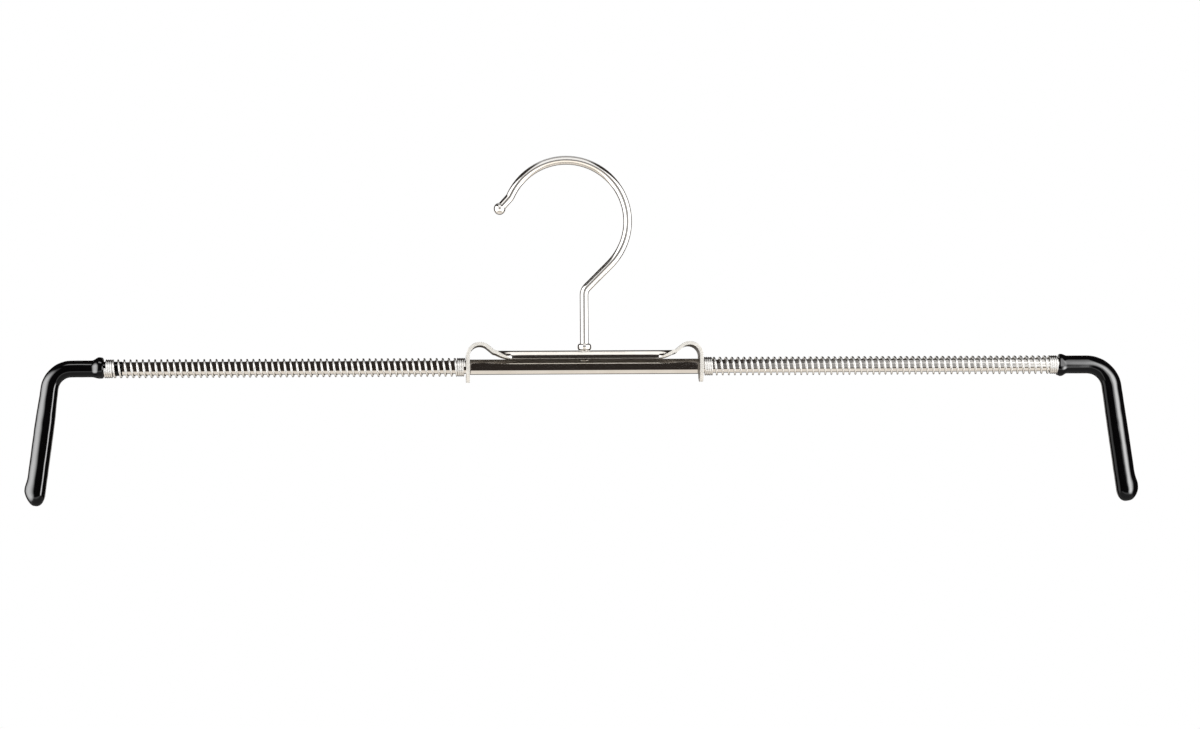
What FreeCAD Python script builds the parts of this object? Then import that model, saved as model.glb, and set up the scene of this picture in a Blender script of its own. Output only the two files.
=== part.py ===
import FreeCAD, Part
import math
import os

os.makedirs("parts", exist_ok=True)

# A sprung skirt hanger: a swivelling hook on a folded bracket, and two round arms
# that slide into a guide tube against coil springs. Millimetres.
# X runs along the bar, Y away from the viewer, Z up. The right-hand pieces are drawn
# with the bar's axis on X, and the left-hand ones are the same pieces turned half a
# turn about the hook's stem. At the end all pieces drop so that the origin is where
# a rail carries the hook, straight above the stem.

# Hook wire and its bowl
HOOK_WIRE_D = 3.8
BOWL_RADIUS = 26.6           # to the wire's centre
BOWL_OFFSET = 7.4            # bowl's centre left of the stem
BOWL_HEIGHT = 63.3           # bowl's centre above the bar's axis
NECK_LEAN = 45.0             # degrees from upright
NECK_BEND_RADIUS = 5.0
BOWL_END_ANGLE = 155.0       # degrees round the bowl from its right side
TIP_LEAN = 42.0              # degrees from upright
TIP_BEND_RADIUS = 5.0
TIP_LENGTH = 6.1
BALL_D = 5.2

# Swivel at the hook's foot
COLLAR_D = 6.1
COLLAR_HEIGHT = 3.0
COLLAR_ROUND = 1.1
TENON_D = 2.8
RIVET_HEAD_D = 4.2
RIVET_HEAD_HEIGHT = 0.9
SWIVEL_CLEARANCE = 0.05      # round the tenon
SWIVEL_PLAY = 0.1            # along the stem, above and below the sheet

# Bracket, folded from one strip
SHEET = 1.5
BRACKET_LENGTH = 102.6       # over the outer faces of the ears
CHANNEL_WIDTH = 11.2
CHANNEL_BEND_RADIUS = 3.2    # outside of the fold
CHANNEL_TOP = 6.9            # above the bar's axis
FLANGE_DEPTH = 3.7
FOLD_LENGTH = 6.6            # run over which the flat strip folds into the channel
HUMP_RADIUS = 5.2            # to the middle of the sheet
HUMP_SLOPE = 40.0            # degrees
HUMP_SLOPE_LENGTH = 3.0
VALLEY_RADIUS = 2.0
FOLD_STEP_COUNT = 4          # facets round each folded edge

# Guide tube with rolled-in ends
TUBE_WALL = 0.2
LIP_LENGTH = 1.0
TUBE_SEAT_CLEARANCE = 0.02

# Arms
ROD_D = 5.7
RUN_CLEARANCE = 0.05         # rod in the lip, and bush in the tube
BUSH_D = 6.1
BUSH_LENGTH = 15.0
SPIGOT_D = 4.6
STOP_PLAY = 0.1
ARM_REACH = 22.0             # spring seat to the arm's corner
ARM_BEND_RADIUS = 10.2
LEG_SPLAY = 7.5              # degrees outwards from upright
LEG_LENGTH = 60.0            # corner to the end of the coating
STAKE_D = 7.4                # ring upset on the rod, behind the spring
STAKE_LENGTH = 1.6

# Vinyl coating
COAT_BAR_D = 7.4
COAT_BEND_D = 8.2            # where the leg starts
COAT_TIP_D = 8.7
BEAD_D = 9.1
BEAD_LENGTH = 4.4
TIP_WALL = 1.6               # below the rod's end
TIP_FLAT_D = 3.6
TIP_ROUND_HEIGHT = 6.2
BUMP_RADIUS = 4.0
BUMP_OUT = 1.4               # bump's centre outside the leg's axis
BUMP_UP = 7.0                # bump's centre above the end of the coating
ELBOW_SECTION_COUNT = 7      # rings that carry the coating round the bend

# Springs
SPRING_WIRE_D = 0.9
SPRING_MEAN_D = 7.2
SPRING_LENGTH = 155.5        # as fitted
SPRING_PLAY = 0.15           # to the ear, and to the bead
OPEN_TURNS = 43
END_TURNS = 3                # close turns at each end
END_PITCH = 1.45
TAIL_BEND_RADIUS = 1.1

# Worked out from the sizes above
SHEET_MID = CHANNEL_TOP - SHEET / 2
FOLD_MID_RADIUS = CHANNEL_BEND_RADIUS - SHEET / 2
FOLD_ARC = FOLD_MID_RADIUS * math.pi / 2
CHANNEL_FLAT = CHANNEL_WIDTH / 2 - CHANNEL_BEND_RADIUS
FLANGE_STRAIGHT = FLANGE_DEPTH - CHANNEL_BEND_RADIUS
STRIP_WIDTH = 2 * (CHANNEL_FLAT + FOLD_ARC + FLANGE_STRAIGHT)
EAR_FACE = BRACKET_LENGTH / 2
TUBE_BORE = BUSH_D + 2 * RUN_CLEARANCE
TUBE_D = TUBE_BORE + 2 * TUBE_WALL
LIP_BORE = ROD_D + 2 * RUN_CLEARANCE
BUSH_FACE = EAR_FACE - LIP_LENGTH - STOP_PLAY
ROD_INNER_END = BUSH_FACE - BUSH_LENGTH
SPRING_START = EAR_FACE + SPRING_PLAY
SPRING_SEAT = SPRING_START + SPRING_LENGTH + SPRING_PLAY
ARM_CORNER = SPRING_SEAT + ARM_REACH
RAIL_HEIGHT = BOWL_HEIGHT + math.sqrt((BOWL_RADIUS - HOOK_WIRE_D / 2) ** 2 - BOWL_OFFSET ** 2)


def point(x, z):
    return FreeCAD.Vector(x, 0, z)


def heading(lean):
    """Unit direction in the front plane, lean degrees from upright towards the right."""
    turn = math.radians(lean)
    return point(math.sin(turn), math.cos(turn))


def on_circle(centre, radius, angle):
    turn = math.radians(angle)
    return centre + point(radius * math.cos(turn), radius * math.sin(turn))


def arc(start, corner, end):
    """Arc that starts and ends along the two equal sides of a corner."""
    chord_mid = (start + end) * 0.5
    half_chord = (end - start).Length / 2
    side = (corner - start).Length
    rise = (corner - chord_mid).Length
    sagitta = half_chord * rise / (side + half_chord)
    middle = chord_mid + (corner - chord_mid) * (sagitta / rise)
    return Part.Arc(start, middle, end).toShape()


def rounded_corner(corner, incoming, outgoing, radius):
    """Start, arc and end of a bend of this radius at a corner between two directions."""
    tangent = radius * math.tan(incoming.getAngle(outgoing) / 2)
    start = corner - incoming * tangent
    end = corner + outgoing * tangent
    return start, arc(start, corner, end), end


def line(start, end):
    return Part.LineSegment(start, end).toShape()


def round_wire(centre, direction, diameter):
    return Part.Wire(Part.makeCircle(diameter / 2, centre, direction))


def tube_along(edges, section):
    shell = Part.BRepOffsetAPI.MakePipeShell(Part.Wire(edges))
    shell.add(section)
    shell.build()
    shell.makeSolid()
    return shell.shape()


def cylinder_x(start, end, diameter):
    return Part.makeCylinder(diameter / 2, end - start, point(start, 0), point(1, 0))


def cylinder_z(bottom, top, diameter):
    return Part.makeCylinder(diameter / 2, top - bottom, point(0, bottom))


def make_hook():
    up = heading(0)
    neck = heading(NECK_LEAN)
    bowl = point(-BOWL_OFFSET, BOWL_HEIGHT)
    neck_top = on_circle(bowl, BOWL_RADIUS, -NECK_LEAN)
    neck_foot = neck_top - neck * (neck_top.x / neck.x)
    bend_start, bend, bend_end = rounded_corner(neck_foot, up, neck, NECK_BEND_RADIUS)

    bowl_end = on_circle(bowl, BOWL_RADIUS, BOWL_END_ANGLE)
    bowl_top = on_circle(bowl, BOWL_RADIUS, (BOWL_END_ANGLE - NECK_LEAN) / 2)
    bowl_arc = Part.Arc(neck_top, bowl_top, bowl_end).toShape()
    leaving = heading(-BOWL_END_ANGLE)
    tip = heading(TIP_LEAN - 180)
    tip_turn = TIP_BEND_RADIUS * math.tan(leaving.getAngle(tip) / 2)
    tip_corner = bowl_end + leaving * tip_turn
    tip_start = tip_corner + tip * tip_turn
    ball_centre = tip_start + tip * TIP_LENGTH

    collar_bottom = CHANNEL_TOP + SWIVEL_PLAY
    collar_top = collar_bottom + COLLAR_HEIGHT
    stem_foot = point(0, collar_bottom + COLLAR_HEIGHT / 2)
    edges = [
        line(stem_foot, bend_start),
        bend,
        line(bend_end, neck_top),
        bowl_arc,
        arc(bowl_end, tip_corner, tip_start),
        line(tip_start, ball_centre),
    ]
    wire = tube_along(edges, round_wire(stem_foot, up, HOOK_WIRE_D))
    ball = Part.makeSphere(BALL_D / 2, ball_centre)

    collar = cylinder_z(collar_bottom, collar_top, COLLAR_D)
    rims = [edge for edge in collar.Edges if isinstance(edge.Curve, Part.Circle)]
    collar = collar.makeFillet(COLLAR_ROUND, rims)
    head_top = CHANNEL_TOP - SHEET - SWIVEL_PLAY
    head = cylinder_z(head_top - RIVET_HEAD_HEIGHT, head_top, RIVET_HEAD_D)
    tenon = cylinder_z(head_top, collar_bottom + COLLAR_HEIGHT / 2, TENON_D)
    return wire.fuse([ball, collar, tenon, head]).removeSplitter()


def fold_section(x, bend):
    """Cross-section of the strip at x, with its edges folded down by bend degrees."""
    outline = []
    turn = math.radians(bend)
    for side in (SHEET / 2, -SHEET / 2):
        half = [(0.0, side)]
        for step in range(FOLD_STEP_COUNT + 1):
            part_turn = turn * step / FOLD_STEP_COUNT
            if bend:
                radius = FOLD_ARC / turn
                y = CHANNEL_FLAT + (radius + side) * math.sin(part_turn)
                z = (radius + side) * math.cos(part_turn) - radius
            else:
                y = CHANNEL_FLAT + FOLD_ARC * step / FOLD_STEP_COUNT
                z = side
            half.append((y, z))
        y_end = half[-1][0] + FLANGE_STRAIGHT * math.cos(turn)
        z_end = half[-1][1] - FLANGE_STRAIGHT * math.sin(turn)
        half.append((y_end, z_end))
        whole = [(-y, z) for y, z in reversed(half[1:])] + half[1:]
        outline += whole if side > 0 else whole[::-1]
    corners = [FreeCAD.Vector(x, y, SHEET_MID + z) for y, z in outline]
    return Part.makePolygon(corners + corners[:1])


def make_hump():
    """Right hump: from the flat strip's end up over the hump to the top of the ear."""
    slope = math.radians(HUMP_SLOPE)
    ear_mid = EAR_FACE - SHEET / 2
    hump_x = ear_mid - HUMP_RADIUS
    slope_x = hump_x - HUMP_RADIUS * math.sin(slope)
    valley_x = slope_x - HUMP_SLOPE_LENGTH * math.cos(slope)
    flat_x = valley_x - VALLEY_RADIUS * math.sin(slope)
    valley = point(flat_x, SHEET_MID + VALLEY_RADIUS)
    valley_end = on_circle(valley, VALLEY_RADIUS, HUMP_SLOPE - 90)
    rising = point(math.cos(slope), math.sin(slope))
    slope_end = valley_end + rising * HUMP_SLOPE_LENGTH
    hump = on_circle(slope_end, -HUMP_RADIUS, HUMP_SLOPE + 90)
    flat_end = point(flat_x, SHEET_MID)
    edges = [
        Part.Arc(flat_end, on_circle(valley, VALLEY_RADIUS, HUMP_SLOPE / 2 - 90), valley_end).toShape(),
        line(valley_end, slope_end),
        Part.Arc(slope_end, on_circle(hump, HUMP_RADIUS, 90), on_circle(hump, HUMP_RADIUS, 0)).toShape(),
    ]
    half = STRIP_WIDTH / 2
    corners = [
        FreeCAD.Vector(flat_x, -half, SHEET_MID - SHEET / 2),
        FreeCAD.Vector(flat_x, half, SHEET_MID - SHEET / 2),
        FreeCAD.Vector(flat_x, half, SHEET_MID + SHEET / 2),
        FreeCAD.Vector(flat_x, -half, SHEET_MID + SHEET / 2),
    ]
    section = Part.makePolygon(corners + corners[:1])
    ear_top = hump.z
    ear = Part.makeBox(SHEET, STRIP_WIDTH, ear_top, FreeCAD.Vector(EAR_FACE - SHEET, -half, 0))
    ear_end = cylinder_x(EAR_FACE - SHEET, EAR_FACE, STRIP_WIDTH)
    return flat_x, tube_along(edges, section).fuse([ear, ear_end])


def make_bracket():
    flat_x, right_side = make_hump()
    folded_x = flat_x - FOLD_LENGTH
    half_folded_x = flat_x - FOLD_LENGTH / 2
    stations = [(folded_x, 90.0), (half_folded_x, 45.0), (flat_x, 0.0)]
    sections = [fold_section(-x, bend) for x, bend in reversed(stations)]
    sections += [fold_section(x, bend) for x, bend in stations]
    channel = Part.makeLoft(sections, True, True)
    bracket = channel.fuse([right_side, turned(right_side)]).removeSplitter()
    tube_hole = cylinder_x(-EAR_FACE - SHEET, EAR_FACE + SHEET, TUBE_D + 2 * TUBE_SEAT_CLEARANCE)
    tenon_hole = cylinder_z(SHEET_MID - SHEET, SHEET_MID + SHEET, TENON_D + 2 * SWIVEL_CLEARANCE)
    return bracket.cut([tube_hole, tenon_hole])


def make_guide_tube():
    tube = cylinder_x(-EAR_FACE, EAR_FACE, TUBE_D)
    bore = cylinder_x(-EAR_FACE + LIP_LENGTH, EAR_FACE - LIP_LENGTH, TUBE_BORE)
    mouth = cylinder_x(-EAR_FACE, EAR_FACE, LIP_BORE)
    return tube.cut([bore, mouth])


def leg_point(from_corner, outwards=0.0):
    """Point on the leg, a distance down from the arm's corner and off the leg's axis."""
    down = heading(180 - LEG_SPLAY)
    across = heading(90 - LEG_SPLAY)
    return point(ARM_CORNER, 0) + down * from_corner + across * outwards


def arm_bend():
    return rounded_corner(point(ARM_CORNER, 0), heading(90), heading(180 - LEG_SPLAY), ARM_BEND_RADIUS)


def make_rod():
    bend_start, bend, bend_end = arm_bend()
    shoulder = point(BUSH_FACE, 0)
    edges = [
        line(shoulder, bend_start),
        bend,
        line(bend_end, leg_point(LEG_LENGTH - TIP_WALL)),
    ]
    rod = tube_along(edges, round_wire(shoulder, heading(90), ROD_D))
    spigot = cylinder_x(ROD_INNER_END, BUSH_FACE, SPIGOT_D)
    stake_start = SPRING_SEAT + (BEAD_LENGTH - STAKE_LENGTH) / 2
    stake = cylinder_x(stake_start, stake_start + STAKE_LENGTH, STAKE_D)
    return rod.fuse([spigot, stake]).removeSplitter()


def make_stop_bush():
    bush = cylinder_x(ROD_INNER_END, BUSH_FACE, BUSH_D)
    return bush.cut(cylinder_x(ROD_INNER_END, BUSH_FACE, SPIGOT_D))


def make_bead():
    """Swelling of the coating over the upset ring, round the bar's axis."""
    bead_end = SPRING_SEAT + BEAD_LENGTH
    foot = COAT_BAR_D / 2
    crown = BEAD_D / 2
    middle = SPRING_SEAT + BEAD_LENGTH / 2
    start = point(SPRING_SEAT, foot)
    end = point(bead_end, foot)
    edges = [
        Part.Arc(start, point(middle, crown), end).toShape(),
        line(end, point(bead_end, 0)),
        line(point(bead_end, 0), point(SPRING_SEAT, 0)),
        line(point(SPRING_SEAT, 0), start),
    ]
    return Part.Face(Part.Wire(edges)).revolve(point(0, 0), point(1, 0), 360)


def make_leg():
    """Coating of the leg before its bore is cut: a taper with a rounded nose."""
    leg_start = arm_bend()[2]
    nose_start = leg_point(LEG_LENGTH - TIP_ROUND_HEIGHT)
    nose_end = leg_point(LEG_LENGTH)
    start_edge = leg_start + heading(90 - LEG_SPLAY) * (COAT_BEND_D / 2)
    nose_edge = leg_point(LEG_LENGTH - TIP_ROUND_HEIGHT, COAT_TIP_D / 2)
    flat_edge = leg_point(LEG_LENGTH, TIP_FLAT_D / 2)
    corner_pull = math.sqrt(0.5)
    round_width = (COAT_TIP_D - TIP_FLAT_D) / 2
    middle = leg_point(
        LEG_LENGTH - TIP_ROUND_HEIGHT + TIP_ROUND_HEIGHT * corner_pull,
        TIP_FLAT_D / 2 + round_width * corner_pull,
    )
    edges = [
        line(leg_start, start_edge),
        line(start_edge, nose_edge),
        Part.Arc(nose_edge, middle, flat_edge).toShape(),
        line(flat_edge, nose_end),
        line(nose_end, leg_start),
    ]
    axis = nose_end - nose_start
    return Part.Face(Part.Wire(edges)).revolve(leg_start, axis, 360)


def make_coating(rod):
    bend_start, bend, bend_end = arm_bend()
    bar = cylinder_x(SPRING_SEAT, bend_start.x, COAT_BAR_D)
    sections = []
    for step in range(ELBOW_SECTION_COUNT):
        share = step / (ELBOW_SECTION_COUNT - 1)
        where = bend.FirstParameter + (bend.LastParameter - bend.FirstParameter) * share
        diameter = COAT_BAR_D + (COAT_BEND_D - COAT_BAR_D) * share
        sections.append(round_wire(bend.valueAt(where), bend.tangentAt(where), diameter))
    elbow = Part.makeLoft(sections, True, False)
    bump = Part.makeSphere(BUMP_RADIUS, leg_point(LEG_LENGTH - BUMP_UP, BUMP_OUT))
    coating = bar.fuse([make_bead(), elbow, make_leg(), bump])
    return coating.cut(rod)


def biarc(start, start_heading, end, end_heading):
    """Two arcs that leave start and reach end along the given unit headings."""
    across = end - start
    both = start_heading + end_heading
    spread = 2 * (1 - start_heading.dot(end_heading))
    along = across.dot(both)
    side = (math.sqrt(along ** 2 + spread * across.dot(across)) - along) / spread
    first_corner = start + start_heading * side
    second_corner = end - end_heading * side
    joint = (first_corner + second_corner) * 0.5
    return [arc(start, first_corner, joint), arc(joint, second_corner, end)]


def coil_place(half_turn, starts):
    """Point and heading on the coil after so many half turns, right-handed along X."""
    angle = math.pi * half_turn
    radius = SPRING_MEAN_D / 2
    place = FreeCAD.Vector(starts[half_turn], radius * math.cos(angle), radius * math.sin(angle))
    before = starts[max(half_turn - 1, 0)]
    after = starts[min(half_turn + 1, len(starts) - 1)]
    span = min(half_turn + 1, len(starts) - 1) - max(half_turn - 1, 0)
    climb = (after - before) / (span * math.pi)
    course = FreeCAD.Vector(climb, -radius * math.sin(angle), radius * math.cos(angle))
    return place, course.normalize()


def make_spring():
    """One wire: a tail square to the ear, close turns, open turns, close turns, a tail."""
    tail = SPRING_WIRE_D + TAIL_BEND_RADIUS
    coil_start = SPRING_START + tail
    coil_length = SPRING_LENGTH - 2 * tail
    open_pitch = (coil_length - 2 * END_TURNS * END_PITCH) / OPEN_TURNS
    pitches = [END_PITCH] * END_TURNS + [open_pitch] * OPEN_TURNS + [END_PITCH] * END_TURNS
    starts = [coil_start]
    for pitch in pitches:
        starts.append(starts[-1] + pitch / 2)
        starts.append(starts[-1] + pitch / 2)

    along = point(1, 0)
    places = [coil_place(half_turn, starts) for half_turn in range(len(starts))]
    first, first_heading = places[0]
    last, last_heading = places[-1]
    out = FreeCAD.Vector(0, 0, TAIL_BEND_RADIUS)
    entry = first - along * TAIL_BEND_RADIUS - out
    leave = last + along * TAIL_BEND_RADIUS + out
    edges = [line(entry - along * SPRING_WIRE_D, entry)]
    edges += biarc(entry, along, first, first_heading)
    for (start, start_heading), (end, end_heading) in zip(places, places[1:]):
        edges += biarc(start, start_heading, end, end_heading)
    edges += biarc(last, last_heading, leave, along)
    edges.append(line(leave, leave + along * SPRING_WIRE_D))
    print("spring: least gap to itself %.2f mm, tightest bend %.2f mm" % measure_wire(edges))
    return tube_along(edges, round_wire(edges[0].valueAt(0), along, SPRING_WIRE_D))


def measure_wire(edges):
    """Least gap between turns, and least bend radius, on points along the wire."""
    step = SPRING_WIRE_D / 2
    places = []
    for edge in edges:
        count = max(2, math.ceil(edge.Length / step))
        span = edge.LastParameter - edge.FirstParameter
        places += [edge.valueAt(edge.FirstParameter + span * k / count) for k in range(count)]
    near = math.ceil(SPRING_MEAN_D * math.pi / step / 2)
    reach = 4 * near
    gap = SPRING_LENGTH
    for first in range(len(places)):
        for second in range(first + near, min(first + reach, len(places))):
            gap = min(gap, places[first].distanceToPoint(places[second]) - SPRING_WIRE_D)
    bends = [edge.Curve.Radius for edge in edges if isinstance(edge.Curve, Part.Circle)]
    return gap, min(bends)


def turned(shape):
    """The same piece on the left side."""
    return shape.copy().rotated(point(0, 0), point(0, 1), 180)


def write(name, shape):
    placed = shape.translated(point(0, -RAIL_HEIGHT))
    solids = placed.Solids
    print("%-20s %d solid, %9.2f mm3, valid %s" % (name, len(solids), placed.Volume, placed.isValid()))
    placed.exportStep("parts/" + name + ".step")


def main():
    write("hook", make_hook())
    write("bracket", make_bracket())
    write("guide_tube", make_guide_tube())
    rod = make_rod()
    right_pieces = {
        "arm_rod": rod,
        "stop_bush": make_stop_bush(),
        "arm_coating": make_coating(rod),
        "spring": make_spring(),
    }
    for name, shape in right_pieces.items():
        write("right_" + name, shape)
        write("left_" + name, turned(shape))


main()
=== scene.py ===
import math

import bmesh
import bpy
from mathutils import Matrix, Vector, noise


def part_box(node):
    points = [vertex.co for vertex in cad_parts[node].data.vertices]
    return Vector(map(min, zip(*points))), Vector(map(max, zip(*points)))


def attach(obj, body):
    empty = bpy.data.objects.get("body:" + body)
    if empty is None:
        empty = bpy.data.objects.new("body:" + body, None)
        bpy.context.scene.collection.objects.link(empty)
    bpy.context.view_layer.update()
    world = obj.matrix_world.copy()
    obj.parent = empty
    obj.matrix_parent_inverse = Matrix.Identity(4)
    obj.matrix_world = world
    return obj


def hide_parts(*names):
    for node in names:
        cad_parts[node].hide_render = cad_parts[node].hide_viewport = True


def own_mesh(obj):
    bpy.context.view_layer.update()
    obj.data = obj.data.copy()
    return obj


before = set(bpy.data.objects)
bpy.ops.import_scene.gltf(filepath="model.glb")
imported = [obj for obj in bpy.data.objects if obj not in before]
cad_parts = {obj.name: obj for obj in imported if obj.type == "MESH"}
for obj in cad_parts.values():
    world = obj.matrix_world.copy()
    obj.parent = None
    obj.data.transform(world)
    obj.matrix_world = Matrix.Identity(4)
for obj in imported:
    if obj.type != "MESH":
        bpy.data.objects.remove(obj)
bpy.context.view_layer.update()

# A sprung skirt hanger: a swivelling wire hook on a folded bracket, and two round arms
# that slide into a guide tube against coil springs. Metres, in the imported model's frame.
# An arm is always drawn on the right; the left one is then turned half a turn about the
# hook's stem, and has a coating of its own.
MM = 0.001
ALONG = Vector((1, 0, 0))
ACROSS = Vector((0, 1, 0))
UP = Vector((0, 0, 1))

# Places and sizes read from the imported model
tube_low, tube_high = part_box("guide_tube")
bracket_low, bracket_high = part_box("bracket")
spring_low, spring_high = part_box("right_spring")
rod_low, rod_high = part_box("right_arm_rod")
coat_low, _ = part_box("right_arm_coating")
_, bush_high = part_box("right_stop_bush")

BAR = Vector((0, 0, (tube_low.z + tube_high.z) / 2))
EAR_FACE = tube_high.x
TUBE_RADIUS = (tube_high.z - tube_low.z) / 2
STRIP_WIDTH = bracket_high.y - bracket_low.y
SPRING_START = spring_low.x
SPRING_LENGTH = spring_high.x - spring_low.x
SPRING_RADIUS = spring_high.y
SPRING_SEAT = coat_low.x
BUSH_FACE = bush_high.x
ROD_INNER_END = rod_low.x
STAKE_RADIUS = rod_high.y
LEG_BOTTOM = coat_low.z

# Hook wire and its bowl; angles in degrees
WIRE_RADIUS = 1.9 * MM
BOWL_RADIUS = 26.6 * MM
BOWL_CENTRE = BAR + Vector((-7.4, 0, 63.3)) * MM
NECK_LEAN = 45.0
NECK_BEND_RADIUS = 5.0 * MM
BOWL_END_ANGLE = 155.0
TIP_LEAN = 42.0
TIP_BEND_RADIUS = 5.0 * MM
TIP_LENGTH = 6.1 * MM
BALL_RADIUS = 2.6 * MM

# Swivel at the hook's foot, with heights above the bar's axis
COLLAR_RADIUS = 3.05 * MM
COLLAR_BOTTOM = 7.0 * MM
COLLAR_HEIGHT = 3.0 * MM
COLLAR_ROUND = 1.2 * MM
TENON_RADIUS = 1.4 * MM
TENON_HOLE_RADIUS = 1.45 * MM
RIVET_RADIUS = 2.1 * MM
RIVET_HEIGHT = 0.9 * MM
RIVET_TOP = 5.3 * MM
RIVET_FLAT_SHARE = 0.3             # share of the rivet head's radius that is flat
RIVET_RIM_SHARE = 0.35             # share of its height that stands straight at the rim

# Bracket sheet and its folds, with heights above the bar's axis
SHEET = 1.5 * MM
SHEET_MID = 6.15 * MM
EAR_MID = EAR_FACE - SHEET / 2
EDGE_BEVEL = 0.5 * MM
EDGE_SEGMENTS = 3
EDGE_ANGLE = math.radians(60)
EDGE_TRIM = 0.12 * MM
CHANNEL_FLAT = 2.4 * MM
FOLD_MID_RADIUS = 2.45 * MM
FOLD_ARC = FOLD_MID_RADIUS * math.pi / 2
FOLD_LENGTH = 6.6 * MM
HUMP_RADIUS = 5.2 * MM
HUMP_SLOPE = math.radians(40.0)
HUMP_SLOPE_LENGTH = 3.0 * MM
VALLEY_RADIUS = 2.0 * MM
TUBE_SEAT_CLEARANCE = 0.02 * MM
CUT_EDGE_SLOT = 1                  # places in the sheet's list of materials
FACE_SLOT = 2

# Guide tube, whose ends are rolled in to a narrower bore
TUBE_BORE_RADIUS = 3.1 * MM
LIP_BORE_RADIUS = 2.9 * MM
LIP_LENGTH = 1.0 * MM
LIP_ROUND = 0.15 * MM

# Arms
ROD_RADIUS = 2.85 * MM
SPIGOT_RADIUS = 2.3 * MM
ARM_REACH = 22.0 * MM
ARM_CORNER = BAR + Vector((SPRING_SEAT + ARM_REACH, 0, 0))
ARM_BEND_RADIUS = 10.2 * MM
LEG_SPLAY = 7.5                    # degrees from upright
ROD_LEG_LENGTH = 58.4 * MM
ROD_TAPER_LENGTH = 2.7 * MM
ROD_END_RADIUS = 1.1 * MM
STAKE_START = SPRING_SEAT + 1.4 * MM
STAKE_LENGTH = 1.6 * MM

# Vinyl coating; the two arms differ a little, as after dipping by hand
COAT_GAP = 0.01 * MM
RIM_ROUND = 0.35 * MM
RIM_CORNER = RIM_ROUND / 3
RIM_STEP = 0.05 * MM
RIM_SHARE = 0.6                    # share of the bead's lift at its rim
LUMPS_PER_MM = 0.35
LUMP_HEIGHT = 0.05 * MM
BEAD_LUMPS_PER_MM = 0.7
BEAD_LUMP_HEIGHT = 0.1 * MM
BUMP_SHARPNESS = 2.5               # power by which the bump fades round the leg
BUMP_ABOVE_END = 7.0 * MM
BUMP_LENGTH_ABOVE = 2.6 * MM
BUMP_LENGTH_BELOW = 4.2 * MM
NOSE_INNER_HEIGHT = 5.0 * MM
NOSE_INNER_ROUND = 0.33            # power of the rounding; a smaller one is blunter
NOSE_EASE = 1.7
NOSE_END_STEP = 0.04 * MM
RIGHT_COAT = {
    "bend_radius": 10.9 * MM,
    "bar": 3.93 * MM,              # radii
    "leg_top": 4.33 * MM,
    "leg_tip": 4.5 * MM,
    "leg_ease": 0.5,               # share of the leg over which it swells from top to tip
    "leg_length": 60.1 * MM,
    "bump": 0.75 * MM,
    "nose_height": 4.9 * MM,       # on the outer side, under the bump
    "nose_round": 0.45,
    "bead_length": 3.6 * MM,
    "bead_lift": 0.95 * MM,        # crown above the bar
    "bead_sag": 0.15 * MM,
    "bead_front": 0.0,             # share of the lift at the front and back
    "crown_at": 0.3,               # share of the bead's length
    "lip": 0.95 * MM,              # reach of the bead under the spring's end
    "film_length": 0.0,
}
LEFT_COAT = {
    "bend_radius": 9.5 * MM,
    "bar": 3.62 * MM,
    "leg_top": 3.84 * MM,
    "leg_tip": 4.27 * MM,
    "leg_ease": 0.35,
    "leg_length": 59.3 * MM,
    "bump": 0.65 * MM,
    "nose_height": 6.1 * MM,
    "nose_round": 0.62,
    "bead_length": 5.0 * MM,
    "bead_lift": 1.0 * MM,
    "bead_sag": -0.4 * MM,
    "bead_front": 1.0,
    "crown_at": 0.36,
    "lip": 0.0,
    "film_length": 8.1 * MM,
}
FILM_RADIUS = 3.08 * MM
FILM_EDGE = 0.3 * MM
FILM_EDGE_DROP = FILM_EDGE / 3
FILM_WAVE = 1.5 * MM

# Springs
SPRING_WIRE_RADIUS = 0.45 * MM
CLOSED_TURNS = 4.0                 # at each end
OPENING_START = CLOSED_TURNS - 0.5  # the pitch opens over one turn from here
OPEN_TURNS = 56.0
CLOSED_PITCH = 0.905 * MM

# Finishes: tones run from darker to paler, roughness from smoother to rougher
PLATE_TONES = ((0.80, 0.775, 0.74), (0.86, 0.845, 0.82))
CUT_EDGE_TONES = ((0.54, 0.52, 0.48), (0.62, 0.60, 0.56))
# Painted shade: the bracket's underside gets these dark tones to stand for the shade under the strip
UNDERSIDE_SHADE_TONES = ((0.10, 0.085, 0.07), (0.13, 0.115, 0.095))
STEEL_TONES = ((0.76, 0.75, 0.73), (0.84, 0.835, 0.82))
VINYL_TONES = ((0.0002, 0.0002, 0.0003), (0.0005, 0.0005, 0.0007))
NYLON_TONES = ((0.80, 0.79, 0.74), (0.88, 0.87, 0.83))
FLOOR_TONES = ((0.93, 0.93, 0.93), (0.96, 0.96, 0.955))
HOOK_ROUGHNESS = (0.08, 0.13)
SHEET_ROUGHNESS = (0.08, 0.14)
DRAWN_ROUGHNESS = (0.05, 0.09)     # of the tube and the rods
CUT_EDGE_ROUGHNESS = (0.42, 0.58)
UNDERSIDE_ROUGHNESS = (0.40, 0.52)
STEEL_ROUGHNESS = (0.14, 0.22)
VINYL_ROUGHNESS = (0.05, 0.12)
NYLON_ROUGHNESS = (0.38, 0.55)
NOSE_DULLNESS = 0.2                # roughness added at the very end of a leg
VINYL_IOR = 1.54
NOISE_RANGE = (0.3, 0.7)           # most of a noise's values lie in here
SPECK_RANGE = (0.60, 0.72)         # only its peaks, so that worn specks are few
DUST_RANGE = (0.35, 0.75)

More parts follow.
